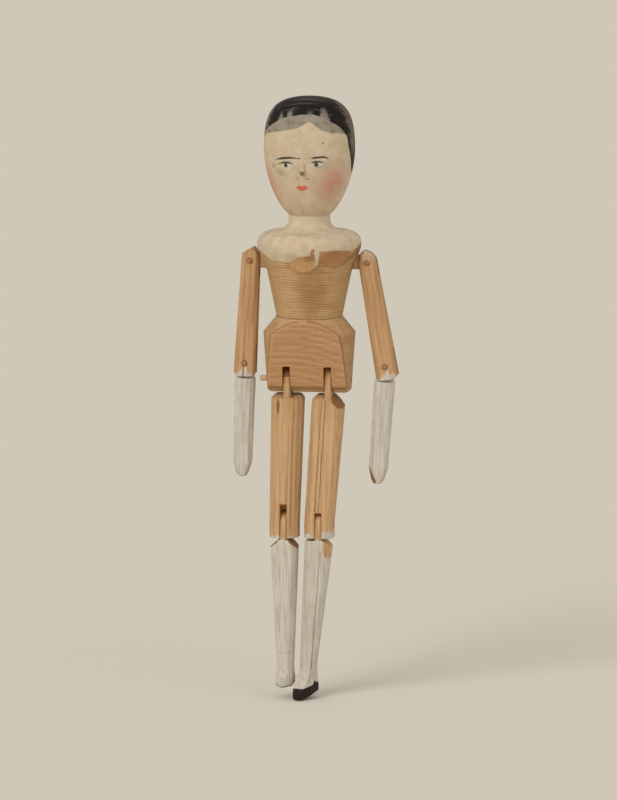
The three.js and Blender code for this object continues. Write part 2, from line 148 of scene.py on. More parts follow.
def hanging_tongue(u, z, thin, radius, length, thickness, heel=False):
    """A plate of the given thickness: a half disc about the peg above, or with a square heel behind
    the disc, and straight sides below."""
    outline = np.where(z > 0.0, np.hypot(u, z), np.abs(u)) - radius
    if heel:
        corner = (u + z - 2 * radius + 0.1) / sqrt(2.0)
        square = np.maximum(np.maximum(u, z - 0.28 * u) - radius, corner)
        outline = np.where((z > 0.0) & (u > 0.0), square, outline)
    plate = eased(outline, np.abs(thin) - thickness / 2.0, THIN_ARRIS)
    return eased(plate, -z - length, THIN_ARRIS)


def bezier(p0, p1, p2, p3, count=20):
    """Points of one cubic curve, without its first, as the weighted mean of four points."""
    t = np.linspace(0.0, 1.0, count + 1)[1:, None]
    s = 1.0 - t
    p0, p1, p2, p3 = (np.array(p, float) for p in (p0, p1, p2, p3))
    return s ** 3 * p0 + 3 * s * s * t * p1 + 3 * s * t * t * p2 + t ** 3 * p3


# The turned outline from the foot of the hips up to the crown
PROFILE = np.vstack([
    [[0.0, HIP_FOOT], [19.9, HIP_FOOT], [21.5, -37.4], [23.5, -8.2], [16.9, 0.0], [21.6, 22.9]],
    bezier((21.6, 22.9), (23.4, 28.5), (26.2, 32.5), (26.4, 36.3)),
    bezier((26.4, 36.3), (26.4, 40.0), (24.2, 42.4), (19.7, 43.0)),
    bezier((19.7, 43.0), (14.0, 43.8), (10.5, 45.0), (10.5, 49.0)),
    [[10.5, 51.5]],
    bezier((10.5, 51.5), (17.5, 57.0), (23.0, 73.0), (23.0, 85.0)),
    bezier((23.0, 85.0), (23.0, 103.0), (18.5, CROWN - 0.5), (2.0, CROWN)),
    [[0.0, CROWN]],
])


def trunk_radius(height):
    """Radius of the turned outline at a height, read along the outline."""
    return np.interp(height, PROFILE[1:-1, 1], PROFILE[1:-1, 0])


def stroke(u, v, widths, *paths):
    """How far inside any of some strokes: the half width, tapered along a path, less the distance to it."""
    best = np.full(np.broadcast(u, v).shape, -np.inf)
    for path in paths:
        path = np.array(path, float)
        for a, b, wa, wb in zip(path[:-1], path[1:], widths[:-1], widths[1:]):
            run = b - a
            t = np.clip(((u - a[0]) * run[0] + (v - a[1]) * run[1]) / (run @ run), 0.0, 1.0)
            gap = np.hypot(u - a[0] - t * run[0], v - a[1] - t * run[1])
            best = np.maximum(best, wa + (wb - wa) * t - gap)
    return best


def distance_to_path(u, v, path):
    """Distance to a path, as the depth outside a stroke of no width along it."""
    return -stroke(u, v, np.zeros(len(path)), path)


TABLE_STEP = 0.3
TABLE_RADII = np.arange(0.0, 34.0, TABLE_STEP)
TABLE_HEIGHTS = np.arange(HIP_FOOT - 6.0, CROWN + 6.0, TABLE_STEP)
TABLE = distance_to_path(TABLE_RADII[:, None], TABLE_HEIGHTS[None, :], PROFILE)
WITHIN = TABLE_RADII[:, None] < trunk_radius(TABLE_HEIGHTS)[None, :]
WITHIN &= (TABLE_HEIGHTS > HIP_FOOT) & (TABLE_HEIGHTS < CROWN)
TABLE = np.where(WITHIN, -TABLE, TABLE)


def turned(radius, height):
    """Distance to the turned outline, read between the entries of a radius and height table."""
    a = np.clip(radius / TABLE_STEP, 0, len(TABLE_RADII) - 1.001)
    b = np.clip((height - TABLE_HEIGHTS[0]) / TABLE_STEP, 0, len(TABLE_HEIGHTS) - 1.001)
    i = a.astype(int)
    j = b.astype(int)
    a = a - i
    b = b - j
    low = TABLE[i, j] * (1 - b) + TABLE[i, j + 1] * b
    high = TABLE[i + 1, j] * (1 - b) + TABLE[i + 1, j + 1] * b
    return low * (1 - a) + high * a


APRON_SLOPE = radians(16.0)
BACK_SLOPE = radians(14.0)
APRON_DEPTH = 7.6
BACK_DEPTH = 9.3
GOUGE_RADIUS = 11.0
GOUGE_DEPTH = 0.9
GOUGE_TILT = radians(20.0)
GOUGES = ((0.0, 28.6), (radians(41.0), 30.8))


def slanted(y, z, depth, height, slope):
    """Distance in front of a plane that leans forward as it rises from a depth at a height."""
    return -(y + depth) * cos(slope) - (z - height) * sin(slope)


def gouge_mark(x, y, z, turn, height):
    """Distance inside a level round gouge, turned round the trunk, that bites the surface at a height."""
    away = GOUGE_RADIUS - GOUGE_DEPTH
    forward = x * sin(turn) - y * cos(turn)
    centre = trunk_radius(height) + away * cos(GOUGE_TILT)
    gap = np.hypot(forward - centre, z - height + away * sin(GOUGE_TILT))
    return np.where(forward > 0.0, GOUGE_RADIUS - gap, -5.0)


def trunk_field(x, y, z):
    """The turned form, less the flats of hips and chest, the two leg slots and the bores."""
    body = turned(np.hypot(x, y), z + 0.0 * x)
    flats = ((APRON_DEPTH, 1.0, 2.6, APRON_SLOPE), (BACK_DEPTH, -1.0, 4.2, BACK_SLOPE))
    for depth, facing, bevel, slope in flats:
        flat = slanted(facing * y, z, depth, HIP_FOOT, slope)
        body = eased(body, flat, 0.5)
        foot = slanted(facing * y, z, depth - bevel, HIP_FOOT, radians(45.0))
        body = eased(body, foot, 0.5)
    for turn, height in GOUGES:
        body = eased(body, gouge_mark(x, y, z, turn, height), 0.2)
    hip = pivot["left_hip"]
    slot = np.maximum(np.abs(np.abs(x) - hip[0]) - LEG_SLOT_HALF, z - LEG_SLOT_TOP)
    body = eased(body, -slot)
    body = eased(body, HIP_PEG + BORE_GAP - np.hypot(y - hip[1], z - hip[2]), BORE_ARRIS)
    rod = np.hypot(y, z - pivot["arms_swing"][2]) - ROD_RADIUS - ROD_GAP
    return eased(body, -rod, THIN_ARRIS)


def skin(field, low, high, cell):
    """Closed surface where a field is zero, with its normals and the sharpness of its arrises.

    One point stands in each lattice cell that the surface crosses, at the mean of the crossings on
    the cell's edges, and then steps along the field's gradient onto the surface. One quad stands on
    each lattice edge that the surface crosses. The sharpness is the field's mean curvature.
    """
    axes = [np.arange(a - 2.5 * cell, b + 3.0 * cell, cell) for a, b in zip(low, high)]
    value = np.broadcast_to(field(*np.ix_(*axes)), [len(a) for a in axes]).astype(np.float32)
    inside = value < 0.0
    counts = [n - 1 for n in value.shape]
    filled = sum(inside[i:counts[0] + i, j:counts[1] + j, k:counts[2] + k].astype(np.int8)
                 for i, j, k in np.ndindex(2, 2, 2))
    cells = np.argwhere((filled > 0) & (filled < 8))
    number = np.full(counts, -1)
    number[tuple(cells.T)] = np.arange(len(cells))
    total = np.zeros((len(cells), 3))
    hits = np.zeros((len(cells), 1))
    quads = []
    for axis in range(3):
        second, third = (axis + 1) % 3, (axis + 2) % 3
        for u, v in np.ndindex(2, 2):
            start = cells.copy()
            start[:, second] += u
            start[:, third] += v
            end = start.copy()
            end[:, axis] += 1
            at_start, at_end = value[tuple(start.T)], value[tuple(end.T)]
            crossed = (at_start < 0) != (at_end < 0)
            along = np.where(crossed, at_start / np.where(crossed, at_start - at_end, 1.0), 0.0)
            point = start.astype(float)
            point[:, axis] += along
            total += point * crossed[:, None]
            hits += crossed[:, None]
        first = np.moveaxis(inside, (axis, second, third), (0, 1, 2))
        around = np.moveaxis(number, (axis, second, third), (0, 1, 2))
        i, j, k = np.nonzero(first[:-1] != first[1:])
        ring = np.stack([around[i, j - u, k - v] for u, v in ((1, 1), (0, 1), (0, 0), (1, 0))], axis=1)
        quads.append(np.where(first[i, j, k][:, None], ring, ring[:, ::-1]))
    points = total / hits * cell + np.array([a[0] for a in axes])
    step = cell * 0.5
    for _ in range(2):
        slope = gradient(field, points, step)
        size = np.maximum((slope ** 2).sum(axis=1), 0.25)
        move = field(*points.T) / size
        points -= slope * np.clip(move, -cell, cell)[:, None]
    slope = gradient(field, points, step)
    normals = slope / np.linalg.norm(slope, axis=1)[:, None]
    reach = 0.8
    near = [field(*(points + sign * reach * np.eye(3)[axis]).T)
            for axis in range(3) for sign in (-1.0, 1.0)]
    sharpness = (sum(near) - 6.0 * field(*points.T)) / reach ** 2
    return points, np.vstack(quads), normals, sharpness


def gradient(field, points, step):
    """Slope of a field at points, from the difference across a step each way on each axis."""
    sides = [step * axis for axis in np.eye(3)]
    return np.stack([(field(*(points + s).T) - field(*(points - s).T)) / (2 * step) for s in sides],
                    axis=1)


# Painted marks: each is a distance in millimetres, positive inside the mark

def dab(u, v, centre, radii):
    """How far inside an ellipse: one less the scaled distance from its centre, times its smaller radius."""
    scaled = np.hypot((u - centre[0]) / radii[0], (v - centre[1]) / radii[1])
    return (1.0 - scaled) * min(radii)


def above_edge(u, v, edge):
    """Distance above an edge that is a path from left to right, negative below it."""
    edge = np.array(edge, float)
    gap = distance_to_path(u, v, edge)
    return np.where(v > np.interp(u, edge[:, 0], edge[:, 1]), gap, -gap)


def put_mesh(name, points, faces, marks=None):
    """A smooth mesh object at the origin from points in millimetres, with its marks as attributes."""
    mesh = bpy.data.meshes.new(name)
    mesh.from_pydata(points * 0.001, [], faces)
    for key, values in (marks or {}).items():
        flat = np.ascontiguousarray(values, dtype=np.float32)
        kind = "FLOAT_VECTOR" if flat.ndim == 2 else "FLOAT"
        layer = mesh.attributes.new(key, kind, "POINT")
        layer.data.foreach_set("vector" if flat.ndim == 2 else "value", flat.ravel())
    mesh.shade_smooth()
    mesh.update()
    piece = bpy.data.objects.new(name, mesh)
    bpy.context.scene.collection.objects.link(piece)
    return piece


def fit_piece(name, points, faces, marks, material, slot, node, body=None):
    """A finished piece takes the place of its solid part and moves with that part's body, which has
    the solid part's name where no other is given."""
    piece = put_mesh(name, points, faces, marks)
    piece.data.materials.append(material)
    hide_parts(node)
    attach(piece, body or node)


def hung(points, place, lean=0.0):
    """Points of a limb that hangs from its peg, leaned in the front plane and moved to the peg."""
    c, s = cos(lean), sin(lean)
    turn = np.array([[c, 0.0, s], [0.0, 1.0, 0.0], [-s, 0.0, c]])
    return points @ turn.T + place


# Materials

def linear(code):
    """A hex sRGB colour as linear RGBA."""
    channel = np.array([int(code[i:i + 2], 16) for i in (1, 3, 5)]) / 255.0
    light = np.where(channel <= 0.04045, channel / 12.92, ((channel + 0.055) / 1.055) ** 2.4)
    return (*(float(c) for c in light), 1.0)


def add(tree, kind, links=None, out=0, stops=(), **settings):
    """Adds a node, sets its properties and colour stops, links or sets its inputs, gives its output."""
    node = tree.nodes.new(f"ShaderNode{kind}")
    for key, value in settings.items():
        setattr(node, key, value)
    for key, value in (links or {}).items():
        socket = node.inputs[key]
        if isinstance(value, bpy.types.NodeSocket):
            tree.links.new(value, socket)
        else:
            socket.default_value = linear(value) if isinstance(value, str) else value
    for _ in stops[2:]:
        node.color_ramp.elements.new(0.5)
    for number, (place, code) in enumerate(stops):
        node.color_ramp.elements[number].position = place
        node.color_ramp.elements[number].color = linear(code)
    return node.outputs[out] if node.outputs else None


def new_finish(name):
    """An empty material, its node tree and the piece's own coordinates in millimetres."""
    material = bpy.data.materials.new(name)
    material.use_nodes = True
    tree = material.node_tree
    tree.nodes.clear()
    return material, tree, add(tree, "Attribute", out="Vector", attribute_name="lie")


def complete(tree, roughness, specular, colour, height=None, depth_mm=0.0):
    """Ends a material with its shader, and a fine relief where a height and its depth are given."""
    inputs = {"Base Color": colour, "Roughness": roughness, "IOR": WOOD_IOR, "Specular IOR Level": specular}
    if height is not None:
        inputs["Normal"] = add(tree, "Bump", {
            "Height": height, "Strength": 1.0, "Distance": depth_mm * 0.001})
    surface = add(tree, "BsdfPrincipled", inputs)
    add(tree, "OutputMaterial", {"Surface": surface})


def streaks(tree, lie, across_mm, along_mm, detail=3.0, roughness=0.55):
    """Noise drawn out along the grain: features of one size across and another along it."""
    scaled = add(tree, "Mapping", {
        "Vector": lie, "Scale": (1.0 / across_mm, 1.0 / across_mm, 1.0 / along_mm)})
    return add(tree, "TexNoise", {
        "Vector": scaled, "Scale": 1.0, "Detail": detail, "Roughness": roughness})


def blended(tree, first, *more):
    """A tone: the first value plus shares of others, given as a share and a value in turn."""
    for share, value in zip(more[0::2], more[1::2]):
        first = add(tree, "Math", {0: value, 1: share, 2: first}, operation="MULTIPLY_ADD")
    return first


def laid(tree, under, over, mask, share=1.0):
    """One colour laid over another where the mask is one, at a share of its full strength."""
    part = add(tree, "Math", {0: mask, 1: share}, operation="MULTIPLY")
    return add(tree, "Mix", {0: part, 6: under, 7: over}, out=2, data_type="RGBA")


def where(tree, under, over, value, low, high, share=1.0):
    """One colour laid over another where a value climbs from low to high."""
    rise = add(tree, "MapRange", {"Value": value, "From Min": low, "From Max": high},
               interpolation_type="SMOOTHSTEP")
    return laid(tree, under, over, rise, share)


def graded(tree, value, low, high, stops):
    """Colours spread over a value from low to high."""
    rise = add(tree, "MapRange", {"Value": value, "From Min": low, "From Max": high},
               interpolation_type="SMOOTHSTEP")
    return add(tree, "ValToRGB", {"Fac": rise}, stops=stops)


def inside(tree, mark, ragged=None, amount=0.0, soft=0.15):
    """Mask of a painted mark from its distance, with its edge broken by noise of an amount in mm."""
    distance = add(tree, "Attribute", out="Fac", attribute_name=mark)
    if ragged is not None:
        shift = add(tree, "Math", {0: ragged, 1: 0.5}, operation="SUBTRACT")
        distance = blended(tree, distance, amount, shift)
    return add(tree, "MapRange", {"Value": distance, "From Min": -soft, "From Max": soft},
               interpolation_type="SMOOTHSTEP")


def marked(tree, colour, *rows):
    """Colours laid in turn inside painted marks. A row has the colour, the mark, the noise that breaks
    its edge with an amount in mm, the edge's softness in mm and the share of full strength."""
    for over, mark, ragged, amount, soft, share in rows:
        colour = laid(tree, colour, over, inside(tree, mark, ragged, amount, soft), share)
    return colour


WOOD_IOR = 1.5
WAVE_PER_MM = 0.314


def pine(tree, lie, tones, ring_mm):
    """Whittled softwood: growth rings cut lengthwise as long bands, fine fibres and a slow change
    of tone. Returns the colour and the height of the fibres."""
    shifted = add(tree, "Mapping", {
        "Vector": lie, "Location": (14.0, 9.0, 0.0), "Rotation": (0.03, -0.02, 0.0)})
    rings = add(tree, "TexWave", {
        "Vector": shifted, "Scale": WAVE_PER_MM / ring_mm, "Distortion": 2.5,
        "Detail": 2.0, "Detail Scale": 0.6}, wave_type="RINGS", rings_direction="Z", out="Fac")
    fibre = streaks(tree, lie, 0.4, 24.0)
    cloud = streaks(tree, lie, 5.0, 26.0, 2.0)
    grain = streaks(tree, lie, 1.0, 60.0, 2.0)
    tone = blended(tree, fibre, 0.22, rings, 0.8, cloud)
    spread = add(tree, "MapRange", {"Value": tone, "From Min": 0.58, "From Max": 1.42})
    stops = [(0.0, tones[2]), (0.45, tones[1]), (1.0, tones[0])]
    colour = add(tree, "ValToRGB", {"Fac": spread}, stops=stops)
    return where(tree, colour, tones[2], grain, 0.52, 0.68, 0.6), fibre


# Pine, whittled and never varnished: dry, tan, with long streaks and grimy arrises.
# The lower limbs carry a thin water paint, rubbed through in streaks and at the arrises.

def limb_finish(name, tones):
    """Bare whittled pine with the limb's painted, worn and grimy marks laid over it, painted shade in
    hollows and other shaded places, and the knee slots painted lighter against their shade.
    """
    material, tree, lie = new_finish(name)
    wood, fibre = pine(tree, lie, tones, 2.6)
    fine = streaks(tree, lie, 0.8, 3.0, 4.0)
    blotch = streaks(tree, lie, 3.0, 9.0, 3.0)
    brush = streaks(tree, lie, 0.9, 22.0, 3.0)
    edge = add(tree, "Attribute", attribute_name="edge", out="Fac")
    arris = add(tree, "Math", {0: edge, 1: fine}, operation="MULTIPLY")
    # Painted shade: darker brown in the hollows and inner corners, where the sharpness is below zero
    colour = where(tree, wood, "#6b4526", edge, -0.12, -0.5, 0.4)
    colour = where(tree, colour, tones[2], arris, 0.1, 0.5, 0.55)
    wash = add(tree, "ValToRGB", {"Fac": brush}, stops=PAINT_STOPS)
    wash = where(tree, wash, "#bea99b", blotch, 0.5, 0.68, 0.55)
    shoe = add(tree, "ValToRGB", {"Fac": fine}, stops=SHOE_STOPS)
    colour = marked(
        tree, colour,
        # Painted light: the knee slots' insides in a light tan that lifts their shade
        ("#e2b27a", "slot", fine, 0.2, 0.2, 0.85),
        (wash, "paint", brush, 5.0, 0.6, 1.0),
        (wood, "bare", brush, 3.0, 0.5, 1.0),
        ("#8d6638", "shade", brush, 2.4, 0.8, 0.26),
        # Darker bare wood, and painted shade over the right thigh's tongue top where it sits in the hip
        # slot
        ("#8a6238", "bare_dark", fine, 0.6, 0.2, 1.0),
        ("#4a2f1c", "line", fine, 0.25, 0.2, 0.75),
        ("#7c7066", "pencil", fine, 0.3, 0.2, 0.7),
        ("#8e4a2c", "crack", fine, 0.3, 0.2, 0.75),
        (shoe, "shoe", fine, 0.5, 0.15, 1.0))
    complete(tree, 0.62, 0.25, colour, fibre, 0.03)
    return material


ARM_TONES = ("#cfa679", "#c0966a", "#9f7650")
LEG_TONES = ("#d6b185", "#c6a074", "#a47b52")
PAINT_STOPS = [(0.3, "#b5a89c"), (0.47, "#c6bdb0"), (0.62, "#d1cabd")]
SHOE_STOPS = [(0.35, "#1c0d07"), (0.62, "#2a160c"), (0.75, "#452f20")]
arm_pine = limb_finish("whittled_arm_pine", ARM_TONES)
leg_pine = limb_finish("whittled_leg_pine", LEG_TONES)
limb_white = limb_finish("water_painted_pine", LEG_TONES)


def peg_finish(name, tones):
    """Bare dowels with fine rings."""
    material, tree, lie = new_finish(name)
    wood, fibre = pine(tree, lie, tones, 1.2)
    complete(tree, 0.6, 0.5, wood, fibre, 0.05)
    return material


peg_pine = peg_finish("handled_peg_pine", ("#b58a5d", "#9b7147", "#74502f"))
pale_peg_pine = peg_finish("fresh_peg_pine", ("#d2b488", "#c3a275", "#a98459"))


# Turned pine below: fine tool rings round the bodice and arched growth rings on the slanted front.
# Chalk ground in glue above: matt, cream, broken off below the shoulder. Hair in black glue paint.

def trunk_wood(tree, lie, level, tool, stain, speckle, edge):
    """Bare turned pine, with the slanted front, the slots and the gouge marks in their own tones."""
    band = add(tree, "TexWave", {
        "Vector": level, "Scale": WAVE_PER_MM / 1.25, "Distortion": 1.6, "Detail": 2.0,
        "Detail Scale": 1.2}, wave_type="BANDS", bands_direction="Z", out="Fac")
    tone = blended(tree, tool, 0.34, band, 0.6, stain)
    colour = graded(tree, tone, 0.54, 1.3, [
        (0.0, "#956f47"), (0.4, "#b99365"), (0.7, "#c39d6f"), (1.0, "#cda97d")])
    smooth = where(tree, "#aa845a", "#b89367", stain, 0.35, 0.65)
    arches = add(tree, "Mapping", {
        "Vector": lie, "Location": (9.0, 0.0, 78.0), "Scale": (1.0, 0.12, 1.0)})
    growth = add(tree, "TexWave", {
        "Vector": arches, "Scale": WAVE_PER_MM / 3.4, "Distortion": 3.0, "Detail": 3.0,
        "Detail Scale": 0.3}, wave_type="RINGS", rings_direction="Y", wave_profile="SAW", out="Fac")
    drawn = add(tree, "Mapping", {
        "Vector": lie, "Scale": (0.05, 0.3, 1.0), "Rotation": (0.0, 0.16, 0.0)})
    fibre = add(tree, "TexNoise", {"Vector": drawn, "Scale": 1.1, "Detail": 3.0})
    apron = graded(tree, blended(tree, fibre, 0.3, growth), 0.35, 0.95, [
        (0.0, "#b2835a"), (0.5, "#bd9065"), (0.8, "#c2976d"), (1.0, "#c79e75")])
    apron = where(tree, apron, "#a06d41", growth, 0.72, 1.0, 0.62)
    colour = marked(
        tree, colour,
        (smooth, "hips", None, 0.0, 2.0, 0.65),
        ("#b08e62", "flank", stain, 14.0, 6.0, 0.5),
        ("#7f4a20", "patch", stain, 20.0, 5.0, 0.46),
        (apron, "apron", None, 0.0, 0.4, 1.0),
        # Painted highlight: a pale line along the rim of the slanted front
        ("#d2ae82", "apron_rim", speckle, 0.6, 0.35, 0.35),
        # Painted shade: a dark line on the turned wood just outside the slanted front's edge
        ("#6b4523", "apron_edge", stain, 1.2, 0.4, 0.5))
    # Painted shade: darker brown in the hollows and inner corners of the bare wood
    colour = where(tree, colour, "#6b4526", edge, -0.15, -0.6, 0.35)
    return marked(
        tree, colour,
        # Painted light: the leg slots' insides in a light tan that lifts their shade
        ("#d8a268", "slot", None, 0.0, 0.2, 0.85),
        ("#6f4424", "scar", speckle, 0.5, 1.1, 0.75),
        ("#6f4424", "side_scar", speckle, 0.5, 1.1, 0.75),
        ("#c79b6a", "scar", speckle, 0.4, 0.2, 0.8),
        ("#b28254", "side_scar", speckle, 0.4, 0.2, 0.75),
        ("#85552f", "cut", speckle, 0.25, 0.14, 0.6),
        # Painted shade: dark brown on the bare wood at the doll's left shoulder, above the arm
        ("#5f3d24", "corner", stain, 3.0, 1.0, 0.5),
        ("#8a5a38", "chip", speckle, 0.8, 0.3, 0.45))


def painted_face(tree, colour, stain, speckle):
    """The rubbed cheeks and the brush strokes of the face, laid over the chalk ground, with grey smudges
    and a painted shadow down the nose's side.
    """
    patchy = add(tree, "MapRange", {"Value": stain, "From Min": 0.1, "From Max": 0.62},
                 interpolation_type="SMOOTHSTEP")
    blush = add(tree, "Attribute", attribute_name="blush", out="Fac")
    rubbed = add(tree, "Math", {0: blush, 1: patchy}, operation="MULTIPLY")
    colour = marked(tree, colour, ("#8d7b62", "crease", speckle, 0.5, 0.3, 0.4))
    colour = laid(tree, colour, "#c77667", rubbed, 0.66)
    return marked(
        tree, colour,
        # Grey smudges beside the right eye, and on the nose a painted shadow down its side away from the
        # light
        ("#847a6c", "smudge", speckle, 1.6, 0.9, 0.4),
        ("#c9d0cf", "eye", None, 0.0, 0.4, 0.6),
        ("#2b2520", "lid", speckle, 0.45, 0.16, 0.92),
        ("#2a241e", "brow", speckle, 0.45, 0.16, 0.92),
        ("#171b20", "pupil", speckle, 0.45, 0.16, 0.92),
        ("#d4634c", "lips", speckle, 0.45, 0.16, 0.92),
        ("#57483a", "speck", speckle, 1.0, 0.4, 0.8))


def painted_hair(tree, colour, lie, stain, speckle):
    """A thin grey veil along the hair line, and black glue paint that is rubbed and scuffed, with painted
    sheen at the sides and painted highlights on the crown.
    """
    smear = streaks(tree, lie, 5.0, 2.5, 5.0, 0.5)
    veil = where(tree, "#776f61", "#938a79", stain, 0.35, 0.6)
    black = where(tree, "#150c08", "#574a3e", smear, 0.56, 0.72, 0.6)
    # Grey laid on the black: rubbing and painted sheen at the sides, scuffs and painted highlights on the
    # crown, and painted highlight streaks at its front
    black = marked(
        tree, black,
        ("#8b7b6b", "haze", smear, 9.0, 2.2, 0.54),
        ("#a0968c", "scuff", smear, 7.0, 1.2, 0.62),
        ("#8a7a6a", "comb", speckle, 0.7, 0.25, 0.36))
    return marked(
        tree, colour,
        (veil, "veil", speckle, 0.6, 0.25, 0.92),
        (black, "hair", speckle, 0.9, 0.15, 1.0))


def trunk_finish():
    """Turned pine with its chalk ground, painted hair and painted face."""
    material, tree, lie = new_finish("turned_pine_with_chalk_ground")
    level = add(tree, "Mapping", {"Vector": lie, "Scale": (0.04, 0.04, 1.0)})
    tool = add(tree, "TexNoise", {
        "Vector": level, "Scale": 1.4, "Detail": 2.0, "Roughness": 0.6})
    cloud = add(tree, "TexNoise", {"Vector": lie, "Scale": 0.07, "Detail": 2.0})
    stain = add(tree, "TexNoise", {"Vector": lie, "Scale": 0.22, "Detail": 5.0})
    speckle = add(tree, "TexNoise", {"Vector": lie, "Scale": 1.1, "Detail": 4.0})
    edge = add(tree, "Attribute", attribute_name="edge", out="Fac")
    wood = trunk_wood(tree, lie, level, tool, stain, speckle, edge)
    soil = add(tree, "Math", {0: tool, 1: cloud}, operation="MULTIPLY")
    chalk = graded(tree, blended(tree, stain, 0.45, tool, 0.3, speckle), 0.62, 1.15, [
        (0.0, "#c3ae90"), (0.5, "#ccb89a"), (1.0, "#d3c2a7")])
    chalk = where(tree, chalk, "#9c8a70", soil, 0.27, 0.4, 0.2)
    # Painted shade: the chalk ground darker in its hollows and inner corners
    chalk = where(tree, chalk, "#8f7d64", edge, -0.14, -0.5, 0.22)
    # Painted light: a paler band round the neck that lifts the shade under the chin
    chalk = marked(tree, chalk, ("#d6ccb4", "neck", stain, 6.0, 3.0, 0.24))
    on_ground = inside(tree, "ground", speckle, 1.6, 0.12)
    colour = painted_face(tree, laid(tree, wood, chalk, on_ground), stain, speckle)
    colour = painted_hair(tree, colour, lie, stain, speckle)
    smooth = add(tree, "Math", {0: on_ground, 1: inside(tree, "apron", soft=0.4)},
                 operation="MAXIMUM")
    bare = add(tree, "Math", {0: 1.0, 1: smooth}, operation="SUBTRACT")
    ridges = add(tree, "Math", {0: tool, 1: bare}, operation="MULTIPLY")
    complete(tree, 0.6, 0.2, colour, blended(tree, ridges, 0.2, stain), 0.1)
    return material


turned_pine = trunk_finish()


# Trunk: painted places are given by the turn round the axis, in degrees from the front towards
# the doll's left, and the height above the waist

FACE_RADIUS = 22.5
HAIR_EDGE = [(-180, 69), (-125, 70), (-105, 74), (-95, 80), (-88, 86), (-80, 91), (-58, 96.5),
             (-31.6, 101.6), (-4, 103.4), (15, 103.5), (27.8, 102), (39, 99.6), (53, 96.8),
             (65, 91.5), (67, 86.7), (71.8, 82), (79.6, 75.5), (90, 72), (105, 70), (130, 69), (180, 69)]
VEIL_EDGE = [(-180, 130), (-82, 130), (-80.5, 90.5), (-55.4, 93.6), (-21.5, 95.6), (-7.6, 96.8),
             (2.9, 99.1), (8.2, 99.9), (15, 98.4), (23.7, 95.8), (37.6, 94.3),
             (65, 93), (67, 130), (180, 130)]
GROUND_EDGE = [(-180, 33), (-150, 33.5), (-120, 34), (-90, 34.5), (-61, 33.2), (-43, 29.8), (-16, 29.3),
               (-6, 31.6), (9, 33), (11, 36.6), (13.5, 36.8), (15.2, 33.4), (18, 35.2), (40, 35.4),
               (64.5, 34.4), (80, 36.6), (95, 38), (112, 37), (140, 34.5), (180, 33)]
ABSENT = -5.0
CHIP = radians(11.5) * FACE_RADIUS
BLUSHES = [((44.0, 68.3), (24.0, 9.0)), ((-66.0, 67.5), (20.0, 10.5))]


def face_place(places):
    """Turns and heights on the face, unrolled: the arc at the face's radius, and the height."""
    return np.array(places, float) * (radians(FACE_RADIUS), 1.0)


